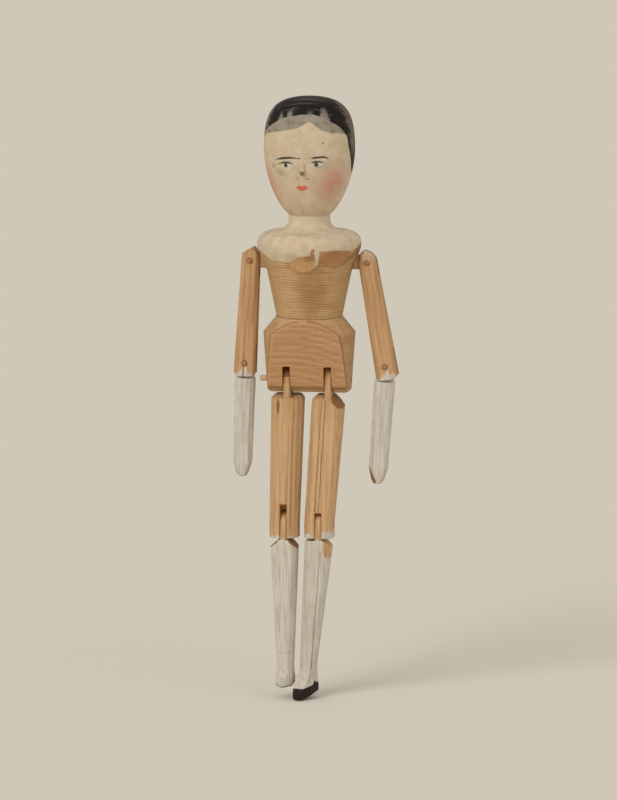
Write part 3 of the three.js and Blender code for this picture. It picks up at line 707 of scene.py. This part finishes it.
def trunk_marks(points, sharpness):
    """Distances of every painted mark on the trunk, from the unrolled turn and height."""
    x, y, z = points.T
    u = np.arctan2(x, -y) * FACE_RADIUS

    def strokes(widths, *paths):
        """How far inside any of some strokes at places on the face."""
        return stroke(u, z, widths, *map(face_place, paths))

    def dabs(*spots):
        """How far inside any of some ellipses, each given by a centre and two radii."""
        return np.max([dab(u, z, face_place(centre), radii) for centre, radii in spots], axis=0)

    ground = above_edge(u, z, face_place(GROUND_EDGE))
    drip = strokes((1.2, 0.8, 0.35), [(16.6, 34.5), (17.2, 30), (16.4, 26.8)])
    front = slanted(y, z, APRON_DEPTH, HIP_FOOT, APRON_SLOPE)
    back = slanted(-y, z, BACK_DEPTH, HIP_FOOT, BACK_SLOPE)
    ahead = np.where(y < 0.0, front, back)
    apron = np.minimum(0.35 - np.abs(ahead), -1.0 - z)
    rim = 0.7 - np.abs(np.hypot(x, y) - trunk_radius(z) - 0.2)
    scar, side_scar = (0.3 - np.abs(gouge_mark(x, y, z, *gouge)) for gouge in GOUGES)
    fans = [stroke(u, z, (0.08, 0.2), [(0.35 * a, 34.0), (a, b)]) for a, b in (
        (-6.5, 28.0), (-4.2, 26.2), (-1.4, 25.2), (1.8, 25.2), (4.6, 26.4))]
    hatches = [stroke(u, z, (0.08, 0.18), [(a, 33.5), (a + 3.0, 28.4)]) for a in (9, 11.5, 14, 16.5)]
    # Painted highlight streaks across the front of the crown
    crown_streak_lines = stroke(
        x, z, (0.05, 0.22, 0.05),
        [(-6.5, 109.6), (1.0, 110.4), (9.5, 109.4)], [(-11.0, 107.2), (-2.0, 108.6), (6.0, 108.4)],
        [(-13.0, 104.4), (-8.0, 105.6), (-3.0, 105.4)], [(1.0, 106.2), (6.0, 105.8), (12.0, 104.6)])
    slot_side = LEG_SLOT_HALF + 0.4 - np.abs(np.abs(x) - pivot["left_hip"][0])
    blush = [np.exp(-np.hypot((u - across) / wide, (z - up) / tall) ** 3)
             for (across, up), (wide, tall) in face_place(BLUSHES)]
    upper_lids = strokes(
        (0.15, 0.5, 0.45, 0.12),
        [(-36.3, 78.4), (-27, 79.4), (-19, 79.5), (-12.1, 78.9)],
        [(9.1, 79.4), (15, 80.1), (22, 80.2), (28.1, 79.3)])
    lower_lid = strokes((0.08, 0.16, 0.08), [(18, 77.4), (23, 77.4), (27.5, 78.6)])
    bow = strokes((0.15, 1.05, 0.95, 1.0, 0.15),
                  [(-12.7, 66.7), (-6, 66.9), (-2.4, 66.3), (1.4, 66.9), (7.6, 66.9)])
    pout = strokes((0.5, 0.75, 0.5), [(-8, 66.0), (-2.4, 65.7), (3.4, 66.0)])
    nostrils = strokes((0.1, 0.36, 0.15), [(-11.5, 72.2), (-8, 71.3), (-5, 70.6)],
                       [(0.6, 70.6), (4, 71.4), (8.5, 71)])
    return dict(
        lie=points, edge=sharpness, scar=scar, side_scar=side_scar, apron=apron,
        hair=above_edge(u, z, face_place(HAIR_EDGE)),
        veil=above_edge(u, z, face_place(VEIL_EDGE)),
        ground=np.maximum(ground, drip),
        chip=np.minimum(ground + 3.0, 0.8 - np.abs(u - CHIP) * 0.25),
        # Painted light round the neck
        neck=4.5 - np.abs(z - 48.0),
        # Painted shade just outside the slanted front's edge
        apron_edge=np.minimum(0.45 - np.abs(ahead + 0.8), -1.0 - z),
        # Painted highlight along the rim of the slanted front
        apron_rim=np.minimum(apron, rim),
        cut=np.minimum(np.max([*fans, *hatches], axis=0), np.maximum(scar, side_scar)),
        # Painted shade on the bare wood of the left shoulder, above the arm
        corner=strokes((2.6, 2.2, 1.2, 0.3), [(96, 37.5), (78, 34.0), (63, 30.5), (56, 27.5)]),
        comb=np.where(y < 0.0, crown_streak_lines, ABSENT),
        crease=strokes(
            (0.05, 0.16, 0.05),
            [(-22, 43.0), (6, 42.4), (38, 41.2)], [(2, 39.8), (30, 38.6), (56, 38.2)],
            [(16, 37.4), (38, 36.6), (58, 36.4)], [(-58, 37.6), (-40, 35.2), (-24, 35.8)]),
        # The leg slots' faces, painted lighter against the shade inside them
        slot=np.minimum(slot_side, LEG_SLOT_TOP + 0.6 - z),
        hips=-2.0 - z,
        patch=dab(u, z, (4.5, 15.0), (9.0, 14.0)),
        flank=np.minimum(np.abs(u - 2.0) - 16.0, z),
        # Rubbing and painted sheen at the hair's sides; scuffs and painted highlights on the crown
        haze=dabs(((-84, 97), (7.5, 12.0)), ((84, 97), (5.0, 14.0))),
        scuff=dabs(((31, 101.5), (2.2, 4.2)), ((9, 103.2), (1.8, 2.2)),
                   ((-22, 103.4), (1.2, 1.4)), ((-37, 101.8), (1.0, 1.2))),
        blush=np.maximum(*blush),
        brow=strokes((0.2, 0.56, 0.52, 0.25),
                     [(-40.5, 80.4), (-29, 81.5), (-18, 82.0), (-2.5, 81.7)],
                     [(8.1, 81.8), (16, 82.2), (26, 82.5), (33.1, 81.7)]),
        lid=np.maximum(upper_lids, lower_lid),
        eye=dabs(((-21.5, 78.0), (2.7, 0.9)), ((20.0, 78.5), (2.7, 0.9))),
        pupil=dabs(((-23.4, 78.0), (1.1, 1.1)), ((17.1, 78.6), (1.1, 1.1))),
        lips=np.max([bow, pout, nostrils], axis=0),
        smudge=dabs(((-45, 77.2), (1.6, 1.8)), ((-35, 74.3), (3.4, 1.6))),
        speck=dabs(((25.5, 89.3), (0.6, 0.6))))


GROUND_THICK = 0.22
points, quads, normals, sharpness = skin(
    trunk_field, (-26.6, -26.6, HIP_FOOT), (26.6, 26.6, CROWN), TRUNK_CELL)
marks = trunk_marks(points, sharpness)
coat = np.clip(marks["ground"] / 0.5 + 0.5, 0.0, 1.0) * GROUND_THICK
points = points + normals * (coat - GROUND_THICK)[:, None]
fit_piece("head_and_trunk", points, quads, marks, turned_pine, "body_wood", "head_and_torso", "trunk")


NOSE_TOP = 80.0
NOSE_FOOT = 73.5


def nose_field(x, y, z):
    """A wedge whose ridge runs out from the bridge to the tip, with sloping sides and a cut underside."""
    ridge = np.interp(z, [73.4, 74.3, NOSE_TOP], [23.6, 24.0, 23.1])
    forward = -y - ridge
    sides = (np.abs(x) - 0.35 + 0.62 * forward) / 1.18
    under = (NOSE_FOOT - z + 0.3 * (-y - 23.0)) / 1.05
    wedge = eased(eased(forward, sides, 0.7), eased(under, z - NOSE_TOP), 0.5)
    return eased(wedge, y + 19.5, THIN_ARRIS)


points, quads, _, sharpness = skin(nose_field, (-3.5, -24.8, 71.8), (3.5, -19.0, 80.5), NOSE_CELL)
x, y, z = points.T
marks = trunk_marks(points, sharpness)
for mark in set(marks) - {"lie", "edge", "blush"}:
    marks[mark] = np.full(len(points), -ABSENT if mark == "ground" else ABSENT)
marks["speck"] = dab(x, z, (-0.4, 74.3), (1.35, 1.1))
# Painted shadow down the side of the nose away from the light
marks["smudge"] = stroke(x, z, (0.5, 0.7), [(1.1, NOSE_TOP), (1.0, 75)])
fit_piece("nose_wedge", points, quads, marks, turned_pine, "nose_paint", "nose", "trunk")


# Limbs

LIMB_MARKS = ("slot", "paint", "bare", "bare_dark", "line", "pencil", "crack", "shade", "shoe")
HIDDEN = -9.0


def limb_skin(field, low, high):
    """A limb's skin, its marks, all absent, and a shift that hides a mark on the limb's back."""
    points, quads, _, sharpness = skin(field, low, high, LIMB_CELL)
    none = np.full(len(points), ABSENT)
    marks = {"lie": points, "edge": sharpness, **{name: none for name in LIMB_MARKS}}
    return points, quads, marks, np.where(points[:, 1] < 0.0, 0.0, HIDDEN)


def upper_arm_field(side, pitch):
    """A tapered bar with a ridge down its front, a roofed top and a blunt foot, forked at both ends."""
    ridge = -1.3 if side < 0 else 0.4
    roof_ease = 0.5 if side < 0 else 2.6

    def field(x, y, z):
        inward = -side * x
        t = np.clip((8.0 - z) / 69.0, 0.0, 1.0)
        depth = ARM_HALF + 0.2 * t
        bar = whittled(x, y, ARM_HALF + ARM_FLARE * t, depth, 2.0, 0.5)
        bar = eased(bar, -y - depth + 0.12 * np.abs(inward - ridge))
        outer = (z - ARM_ROOF + 0.6745 * (0.9 - inward)) / 1.206
        inner = (z - ARM_ROOF + 0.7 * (inward - 0.9)) / 1.22
        scoop = ((inward - 2.4) * 1.28 + z - 5.7) / 1.624
        bar = eased(bar, eased(outer, eased(inner, scoop, 0.6), roof_ease), roof_ease)
        foot = -z - pitch - ARM_FOOT
        corner = (foot + 0.7536 * (np.abs(x) - 3.2)) / 1.252
        bar = eased(bar, eased(foot, corner, 0.5))
        slots = np.maximum(np.abs(y) - ARM_SLOT_HALF, np.minimum(-z - 7.2, z + pitch - 9.0))
        bar = eased(bar, -slots, THIN_ARRIS)
        bores = np.minimum(np.hypot(x, z), np.hypot(x, z + pitch)) - ARM_PEG - BORE_GAP
        return eased(bar, -bores, BORE_ARRIS)
    return field


def forearm_field(length):
    """A flat tapered bar to a spade-shaped hand, under a tongue that turns on the elbow peg."""
    stations = [-length, -length + 0.3 * HAND_LENGTH, -length + HAND_LENGTH, FOREARM_TOP]

    def field(x, y, z):
        width = np.interp(z, stations, [2.0, 3.3, 4.8, 5.15])
        depth = np.interp(z, stations, [2.2, 2.7, 3.3, 4.4])
        chamfer = np.interp(z, stations, [1.0, 1.4, 2.0, 2.0])
        bar = whittled(x, y, width, depth, chamfer, 0.6)
        bar = eased(eased(bar, z - FOREARM_TOP), -z - length, 1.0)
        bar = joined(bar, hanging_tongue(x, z, y, 4.7, 9.0, ARM_TONGUE))
        return eased(bar, ARM_PEG + BORE_GAP - np.hypot(x, z), BORE_ARRIS)
    return field


def hip_leaf(x, y, z):
    """Distance outside the slanting cut at the outer front corner of the left thigh."""
    return 0.6 * (x - 5.6) + 0.5 * (-y - 3.6) + 0.62 * (z + 12.2)


def thigh_field(side):
    """A straight bar under a thin tongue: sloped shoulders above, a raked knee slot below."""
    lean = pivot[f"{side}_knee"][0] - pivot[f"{side}_hip"][0]
    outward = SIDES[side]
    outer_corner = 1.6 if side == "right" else 6.0

    def field(x, y, z):
        t = np.clip((-z - 6.9) / (KNEE_PITCH - 6.9), 0.0, 1.0)
        across = x - lean * t
        bar = whittled(across, y, THIGH_HALF - 0.9 * t, THIGH_HALF_DEPTH, 3.2, 0.6)
        bar = eased(bar, (-y - THIGH_HALF_DEPTH + 0.13 * np.abs(outward * across - 1.0)) / 1.01)
        above = z - THIGH_TOP
        shoulder = above + np.maximum(-y, 0.0) * tan(THIGH_SLOPE)
        outer = (above + outward * x - THIGH_HALF + outer_corner) / sqrt(2.0)
        inner = (above - outward * x - THIGH_HALF + 2.0) / sqrt(2.0)
        bar = eased(bar, eased(shoulder, eased(outer, inner, THIN_ARRIS), 0.5))
        if side == "left":
            bar = eased(bar, hip_leaf(x, y, z), THIN_ARRIS)
        foot = -z - KNEE_PITCH - THIGH_FOOT
        rear = slanted(-y, z, 3.5, -KNEE_PITCH - THIGH_FOOT, radians(45.0))
        bar = eased(bar, eased(foot, rear))
        bar = joined(bar, hanging_tongue(y, z, x, 6.0, 13.0, LEG_TONGUE))
        top = z + KNEE_PITCH - KNEE_SLOT[side] + KNEE_RAKE[side] * y
        bar = eased(bar, -np.maximum(np.abs(x - lean) - LEG_SLOT_HALF, top), THIN_ARRIS)
        bores = np.minimum(np.hypot(y, z) - HIP_PEG, np.hypot(y, z + KNEE_PITCH) - KNEE_PEG) - BORE_GAP
        return eased(bar, -bores, BORE_ARRIS)
    return field


def gable_rise(x, z, side):
    """Height above the lower leg's shoulder, which falls away from the tongue on each side."""
    fall = np.where(SIDES[side] * x > 0.0, OUTER_GABLE, INNER_GABLE[side])
    return z - SHIN_TOP + fall * np.maximum(np.abs(x) - 2.7, 0.0)


def foot_place(x, y, side):
    """Places across and ahead along a foot, which is turned about the ankle."""
    c, s = cos(FOOT_TURN[side]), sin(FOOT_TURN[side])
    x = x - ANKLE[side]
    return x * c + y * s, x * s - y * c


def lower_leg_field(side):
    """A tapered bar under a tongue with gabled shoulders, ending in a foot turned a little inward."""
    drop = SOLE_DROP[side]
    reach = FOOT_REACH[side]
    tip = 2.5 if side == "left" else 0.6

    def field(x, y, z):
        t = np.clip((SHIN_TOP - z) / (ANKLE_DROP + SHIN_TOP), 0.0, 1.0)
        width = SHIN_HALF + (ANKLE_HALF - SHIN_HALF) * t
        bar = whittled(x - ANKLE[side] * t, y, width, SHIN_HALF_DEPTH - 1.7 * t, 2.6, 0.6)
        bar = eased(bar, gable_rise(x, z, side) / 1.3)
        bar = eased(bar, -z - drop + 6.0)
        across, ahead = foot_place(x, y, side)
        sole = (-z - drop - SOLE_SLOPE * ahead) / 1.022
        instep = np.interp(ahead, [HEEL, 2.5, reach], [14.0, 12.0, 4.6 - SOLE_SLOPE * reach])
        top = (z + drop - instep) / 1.25
        half = np.interp(ahead, [HEEL, HEEL + 1.5, 0.45 * reach, reach],
                         [FOOT_HALF - 1.5, FOOT_HALF, FOOT_HALF, tip])
        half = half - 0.16 * np.maximum(z + drop - 4.0, 0.0)
        foot = eased(np.abs(across) - half, eased(ahead - reach, HEEL - ahead, 0.5), 0.9)
        foot = eased(foot, eased(sole, top, 0.5), 0.7)
        leg = joined(bar, foot, 0.8)
        leg = joined(leg, hanging_tongue(y, z, x, 5.6, 11.0, LEG_TONGUE, heel=side == "right"))
        return eased(leg, KNEE_PEG + BORE_GAP - np.hypot(y, z), BORE_ARRIS)
    return field


for word, side in SIDES.items():
    shoulder, elbow = pivot[f"{word}_arm_spread"], pivot[f"{word}_elbow"]
    lean = atan2(shoulder[0] - elbow[0], shoulder[2] - elbow[2])
    pitch = np.linalg.norm(elbow - shoulder)
    points, quads, marks, front = limb_skin(
        upper_arm_field(side, pitch), (-6.0, -5.0, -pitch - 7.0), (6.0, 5.0, 8.0))
    x, y, z = points.T
    if word == "right":
        marks["paint"] = front + (-pitch - 1.6 - 0.95 * np.abs(x) - z) * 0.7
        split = [(-1.3, -18), (-0.6, -pitch), (-0.3, -61)]
        marks["crack"] = front + stroke(x, z, (0.05, 0.3, 0.5), split)
        marks["line"] = front + stroke(x, z, (0.08, 0.1), [(3.2, -4), (3.5, -40)])
    else:
        elbow_paint = front + (-pitch - 1.8 - 0.8 * np.abs(x - 1.2) - z) * 0.7
        marks["paint"] = np.maximum(elbow_paint, np.minimum(dab(x, z, (1.2, 3.6), (3.4, 3.8)), -0.1))
        marks["line"] = front + stroke(x, z, (0.08, 0.12), [(-0.8, -6), (-1.0, -48)])
    fit_piece(f"{word}_upper_arm_bar", hung(points, shoulder, lean), quads, marks,
              arm_pine, "arm_wood", f"{word}_upper_arm")

    length = FOREARM_LENGTH[word]
    points, quads, marks, _ = limb_skin(forearm_field(length), (-5.6, -4.8, -length), (5.6, 4.8, 4.8))
    x, y, z = points.T
    marks["paint"] = -4.6 - z
    if word == "left":
        marks["bare_dark"] = np.minimum(-2.3 - x - 0.55 * (z + length - 5.0), -x - 0.6)
        marks["pencil"] = stroke(x, z, (0.1, 0.12), [(-3.3, -20), (-3.0, -length + 6)])
    else:
        wrist = stroke(x, z, (0.1, 0.14, 0.08), [(-4, -12), (1, -10.5), (4, -9)])
        seam = stroke(x, z, (0.1, 0.14), [(3.3, -12), (3.4, -length + 8)])
        tips = stroke(x, z, (0.1, 0.16), [(-4.3, 7.5 - length), (-2.2, 1.2 - length)],
                      [(4.3, 7.5 - length), (2.2, 1.2 - length)])
        marks["pencil"] = np.max([wrist, seam, tips], axis=0)
    lean = -side * FOREARM_LEAN[word]
    fit_piece(f"{word}_forearm_and_hand", hung(points, elbow, lean), quads, marks,
              limb_white, "limb_paint", f"{word}_forearm")

    hip, knee = pivot[f"{word}_hip"], pivot[f"{word}_knee"]
    points, quads, marks, front = limb_skin(
        thigh_field(word), (-14.0, -6.8, -KNEE_PITCH - 7.0), (9.0, 6.8, 6.2))
    x, y, z = points.T
    across = x - (knee[0] - hip[0]) * np.clip(-z / KNEE_PITCH, 0.0, 1.0)
    # The knee slot's faces, painted lighter against the shade inside the slot
    beside = LEG_SLOT_HALF + 0.35 - np.abs(x - knee[0] + hip[0])
    marks["slot"] = np.minimum(beside, KNEE_SLOT[word] + 0.35 - KNEE_PITCH - z - KNEE_RAKE[word] * y)
    if word == "left":
        marks["line"] = front + stroke(
            across, z, (0.2, 0.24), [(-2.4, -10), (-2.2, -67.4)], [(-0.4, -10), (-0.2, -67.4)])
        facet = np.maximum((z - THIGH_TOP + x - 2.4) / 1.41, hip_leaf(x, y, z)) + 0.35
        marks["bare_dark"] = np.where(x > 2.0, facet, ABSENT)
        marks["paint"] = front - KNEE_PITCH - 4.6 - z + np.where(across > 1.7, 1.6, 0.0)
    else:
        marks["crack"] = front + stroke(
            across, z, (0.12, 0.26), [(1.9, -10), (1.5, -80)], [(3.9, -14), (3.4, -76)])
        marks["shade"] = front + np.minimum(across - 2.2, 0.9)
        marks["line"] = front + stroke(
            x, z, (0.14, 0.14), [(-1.7, 0.2), (1.7, 0.2)], [(-1.7, -1.2), (1.7, -1.2)])
        # A dark strip on the outer side, and painted shade over the tongue's top where it sits in the hip
        # slot
        marks["bare_dark"] = front + np.maximum(dab(across, z, (-4.0, -13.5), (0.8, 4.0)), z - 1.4)
        marks["paint"] = front - KNEE_PITCH - 5.8 - z
    fit_piece(f"{word}_thigh_bar", hung(points, hip), quads, marks,
              leg_pine, "leg_wood", f"{word}_thigh")

    points, quads, marks, front = limb_skin(
        lower_leg_field(word), (-13.0, -17.0, -SOLE_DROP[word] - 4.0), (7.4, 7.0, 7.0))
    x, y, z = points.T
    gable = gable_rise(x, z, word)
    marks["paint"] = np.where(np.abs(x) < 2.6, -7.4 - z, -0.5 - gable)
    across = x - ANKLE[word] * np.clip(-z / ANKLE_DROP, 0.0, 1.0)
    _, ahead = foot_place(x, y, word)
    sole = z + SOLE_DROP[word] + SOLE_SLOPE * ahead
    if word == "left":
        marks["shoe"] = np.interp(ahead, [HEEL, -1.0, 1.2, 3.0, 12.5], [5.2, 4.6, 6.6, 5.2, 5.6]) - sole
        marks["bare"] = np.maximum(dab(x, z, (5.0, -11.6), (2.6, 5.0)) + np.minimum(-y, 0.0) * 0.8,
                                   np.where(x > 2.6, gable + 0.4, ABSENT))
        covered = ((z < -8.2) & (marks["bare"] < -1.0)) | ((x < -1.9) & (z < -7.0))
        marks["paint"] = np.where(covered, np.maximum(marks["paint"], 0.2), marks["paint"])
        shin = stroke(across, z, (0.26, 0.32, 0.2), [(2.3, -14), (2.0, -72), (0.8, -80)])
        garter = stroke(across, z, (0.1, 0.16), [(-4.4, -47), (2.0, -47.4)])
        marks["pencil"] = front + np.maximum(shin, garter)
        marks["shade"] = front + np.minimum(1.6 - across, -0.35)
    else:
        marks["bare_dark"] = np.where(np.abs(x) > 2.6, gable + 0.7, ABSENT)
        marks["line"] = 0.75 - sole
        garter = stroke(across, z, (0.1, 0.14), [(-4.2, -66), (4.2, -65.4)])
        fold = stroke(across, z, (0.1, 0.12, 0.1), [(-1.6, -72.5), (-0.4, -76), (3.8, -70.5)])
        marks["pencil"] = front + np.maximum(garter, fold)
    fit_piece(f"{word}_lower_leg_and_foot", hung(points, knee), quads, marks,
              limb_white, "limb_paint", f"{word}_lower_leg")


def rod_field(x, y, z):
    """A round rod whose two ends are flattened to tongues and rounded about the shoulder pegs."""
    reach = pivot["left_arm_spread"][0]
    past = np.maximum(np.abs(x) - reach, 0.0)
    half = sqrt(ROD_RADIUS ** 2 - (ARM_TONGUE / 2) ** 2) - 0.05
    flat = eased(np.hypot(past, z) - half, np.abs(y) - ARM_TONGUE / 2, THIN_ARRIS)
    flat = eased(flat, 20.5 - np.abs(x), THIN_ARRIS)
    core = eased(np.hypot(y, z) - ROD_RADIUS, np.abs(x) - 22.1)
    bores = np.hypot(np.abs(x) - reach, z) - ARM_PEG - BORE_GAP
    return eased(joined(core, flat), -bores, BORE_ARRIS)


points, quads, marks, _ = limb_skin(rod_field, (-34.0, -4.2, -4.2), (34.0, 4.2, 4.2))
marks["lie"] = points[:, [1, 2, 0]]
fit_piece("shoulder_rod_bar", points + pivot["arms_swing"], quads, marks,
          arm_pine, "arm_wood", "shoulder_rod")


def peg(radius, start, end, axis, place):
    """A dowel: a circle carried along its axis, drawn in at both ends to a low dome and a pole.
    Gives its points, faces and marks."""
    along = np.array([0.06, 0.25, 0.6, 1.0])
    dome = np.array([0.45, 0.8, 0.97, 1.0])
    lift = 0.55 * radius
    middle = np.linspace(start + lift, end - lift, 12)[1:-1]
    stations = np.concatenate([start + lift * along, middle, end - lift * along[::-1]])
    spread = np.concatenate([dome, np.ones(len(middle)), dome[::-1]]) * radius
    turn = np.linspace(0.0, 2 * pi, PEG_SIDES, endpoint=False)
    rings = np.stack([np.outer(spread, np.cos(turn)), np.outer(spread, np.sin(turn)),
                      np.repeat(stations[:, None], PEG_SIDES, axis=1)], axis=2)
    poles = np.array([[0.0, 0.0, start], [0.0, 0.0, end]])
    local = np.vstack([rings.reshape(-1, 3), poles])
    rows = np.arange(len(stations) - 1)[:, None] * PEG_SIDES
    here = np.arange(PEG_SIDES)
    after = (here + 1) % PEG_SIDES
    sides = np.stack([rows + here, rows + after, rows + PEG_SIDES + after, rows + PEG_SIDES + here], axis=2)
    last = (len(stations) - 1) * PEG_SIDES
    foot = np.stack([after, here, np.full(PEG_SIDES, len(local) - 2)], axis=1)
    head = np.stack([last + here, last + after, np.full(PEG_SIDES, len(local) - 1)], axis=1)
    faces = sides.reshape(-1, 4).tolist() + foot.tolist() + head.tolist()
    order = {"x": [2, 0, 1], "y": [1, 2, 0]}[axis]
    return local[:, order] + place, faces, {"lie": local}


for word in SIDES:
    pegs = (("shoulder", "arm_spread", ARM_PEG, "y", "upper_arm"),
            ("elbow", "elbow", ARM_PEG, "y", "upper_arm"), ("knee", "knee", KNEE_PEG, "x", "thigh"))
    for name, joint, radius, axis, body in pegs:
        half = PEG_HALF[name]
        fit_piece(f"{word}_{name}_peg", *peg(radius, -half, half, axis, pivot[f"{word}_{joint}"]),
                  peg_pine, "peg_wood", f"{word}_{name}_pin", f"{word}_{body}")
hip_middle = pivot["right_hip"] * np.array([0.0, 1.0, 1.0])
fit_piece("hip_peg", *peg(HIP_PEG, *HIP_PEG_ENDS, "x", hip_middle),
          pale_peg_pine, "peg_wood", "hip_pin", "trunk")


# Stage: a plain pale floor, soft light from the upper left and a long lens

PAPER = "#e0dacd"
FLOOR_SIZE = 14.0


def floor():
    """A wide level square just under the toe, in the colour of plain paper."""
    corner = FLOOR_SIZE * 1000.0
    level = cad_low[2] * 1000.0 - 0.4
    points = np.array([[-corner, -corner, level], [corner, -corner, level],
                       [corner, corner, level], [-corner, corner, level]])
    sheet = put_mesh("paper_floor", points, [(0, 1, 2, 3)])
    material, tree, _ = new_finish("plain_paper")
    complete(tree, 0.9, 0.0, PAPER)
    sheet.data.materials.append(material)


floor()


def light_room():
    """An even pale sky, and a broad key light from the upper left in front."""
    world = bpy.data.worlds.new("pale_room")
    world.use_nodes = True
    tree = world.node_tree
    tree.nodes.clear()
    sky = add(tree, "Background", {"Color": "#f4f1ea", "Strength": 0.62})
    add(tree, "OutputWorld", {"Surface": sky})
    bpy.context.scene.world = world
    lamps = (("key", 1.25, 32.0, (0.5, 0.78, -0.62)), ("fill", 0.55, 70.0, (-0.8, 0.6, -0.3)))
    for name, power, spread, toward in lamps:
        lamp = bpy.data.lights.new(name, "SUN")
        lamp.energy = power
        lamp.angle = radians(spread)
        holder = bpy.data.objects.new(name, lamp)
        aim = np.array(toward) / np.linalg.norm(toward)
        pitch = acos(-aim[2])
        holder.rotation_euler = (pitch, 0.0, atan2(-aim[0], aim[1]))
        bpy.context.scene.collection.objects.link(holder)


light_room()

CAMERA_TURN = radians(8.5)
CAMERA_RISE = radians(8.0)
CAMERA_AWAY = 3.5
FRAME_HEIGHT = 0.4046
FRAME_CENTRE = (-0.0005, 0.0, -0.0433)


def set_camera():
    """A long lens at the drawing's viewing angle, framing its whole height."""
    lens = bpy.data.cameras.new("long_lens")
    lens.sensor_fit = "VERTICAL"
    lens.sensor_height = 36.0
    lens.lens = 36.0 * CAMERA_AWAY / FRAME_HEIGHT
    lens.clip_end = 60.0
    camera = bpy.data.objects.new("camera", lens)
    flat = CAMERA_AWAY * cos(CAMERA_RISE)
    camera.location = (FRAME_CENTRE[0] + flat * sin(CAMERA_TURN),
                       FRAME_CENTRE[1] - flat * cos(CAMERA_TURN),
                       FRAME_CENTRE[2] + CAMERA_AWAY * sin(CAMERA_RISE))
    camera.rotation_euler = (pi / 2 - CAMERA_RISE, 0.0, CAMERA_TURN)
    bpy.context.scene.collection.objects.link(camera)
    bpy.context.scene.camera = camera


set_camera()
bpy.context.scene.view_settings.view_transform = "Standard"
